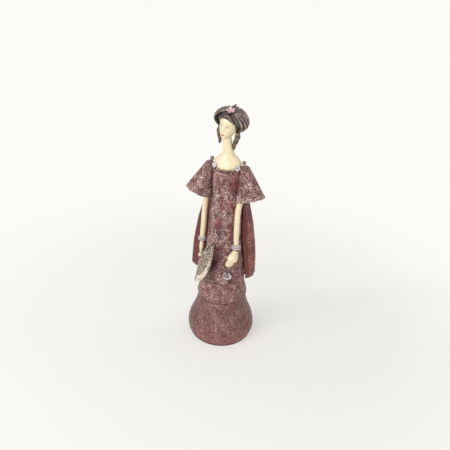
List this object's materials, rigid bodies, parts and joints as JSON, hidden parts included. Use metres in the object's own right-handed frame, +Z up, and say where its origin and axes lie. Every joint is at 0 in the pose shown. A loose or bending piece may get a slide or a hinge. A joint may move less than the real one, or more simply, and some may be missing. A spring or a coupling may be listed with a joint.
{
  "type": "ceramic lady figurine",
  "caption": "Standing hand-built ceramic lady in a lace-pressed gown with cape, open sleeves, fan and purse, on a hollow bell skirt that rests on its flat foot ring.",
  "frame": {"origin": "on the floor, in the middle of the bounding box's bottom face, on the axis of the bell skirt", "axes": "+Z up along the figure, -Y the way the figure faces, +X to the figure's own left"},
  "size_m": [0.1198, 0.1106, 0.3835],
  "materials": {
    "maroon_lace_glaze": "lace-pressed maroon glaze, satin gloss",
    "plum_glaze": "speckled plum glaze, satin gloss",
    "cream_glaze": "cream glaze, gloss",
    "umber_glaze": "umber glaze with paler ridges, gloss",
    "pink_glaze": "pink glaze, gloss",
    "dark_leaf_glaze": "dark leaf glaze, satin",
    "fan_glaze": "mottled brown and olive glaze, gloss",
    "ivory_glaze": "ivory glaze, gloss",
    "lilac_lustre": "lilac mother-of-pearl lustre, gloss"
  },
  "bodies": {
    "root": {"skirt_bell": "maroon_lace_glaze", "skirt_band": "maroon_lace_glaze", "tunic": "maroon_lace_glaze", "sleeve_left": "maroon_lace_glaze", "sleeve_right": "maroon_lace_glaze", "neckline_frill_front": "maroon_lace_glaze", "neckline_frill_back": "maroon_lace_glaze", "cape": "plum_glaze", "shoulder_knot_left": "plum_glaze", "shoulder_knot_right": "plum_glaze", "bust_and_neck": "cream_glaze", "head": "cream_glaze", "arm_left": "cream_glaze", "arm_right": "cream_glaze", "hand_left": "cream_glaze", "hand_right": "cream_glaze", "hair_core": "umber_glaze", "hair_coil_01": "umber_glaze", "hair_coil_02": "umber_glaze", "hair_coil_03": "umber_glaze", "hair_coil_04": "umber_glaze", "hair_coil_05": "umber_glaze", "hair_coil_06": "umber_glaze", "hair_coil_07": "umber_glaze", "hair_coil_08": "umber_glaze", "hair_coil_09": "umber_glaze", "hair_coil_10": "umber_glaze", "hair_coil_11": "umber_glaze", "hair_coil_12": "umber_glaze", "hair_coil_13": "umber_glaze", "hair_coil_14": "umber_glaze", "hair_coil_15": "umber_glaze", "hair_bun": "umber_glaze", "ringlet_left": "umber_glaze", "ringlet_right": "umber_glaze", "flower_petal_1": "pink_glaze", "flower_petal_2": "pink_glaze", "flower_petal_3": "pink_glaze", "flower_petal_4": "pink_glaze", "flower_petal_5": "pink_glaze", "flower_leaf": "dark_leaf_glaze", "fan_leaf": "fan_glaze", "flower_heart": "ivory_glaze", "fan_edge": "ivory_glaze", "fan_guard_upper": "ivory_glaze", "fan_guard_lower": "ivory_glaze", "fan_head": "ivory_glaze", "bangle_left_1": "lilac_lustre", "bangle_left_2": "lilac_lustre", "bangle_right_1": "lilac_lustre", "bangle_right_2": "lilac_lustre", "purse_pouch": "lilac_lustre", "purse_frill": "lilac_lustre", "purse_loop": "lilac_lustre", "shoulder_rosette_left": "lilac_lustre", "shoulder_rosette_right": "lilac_lustre"}
  },
  "joints": []
}
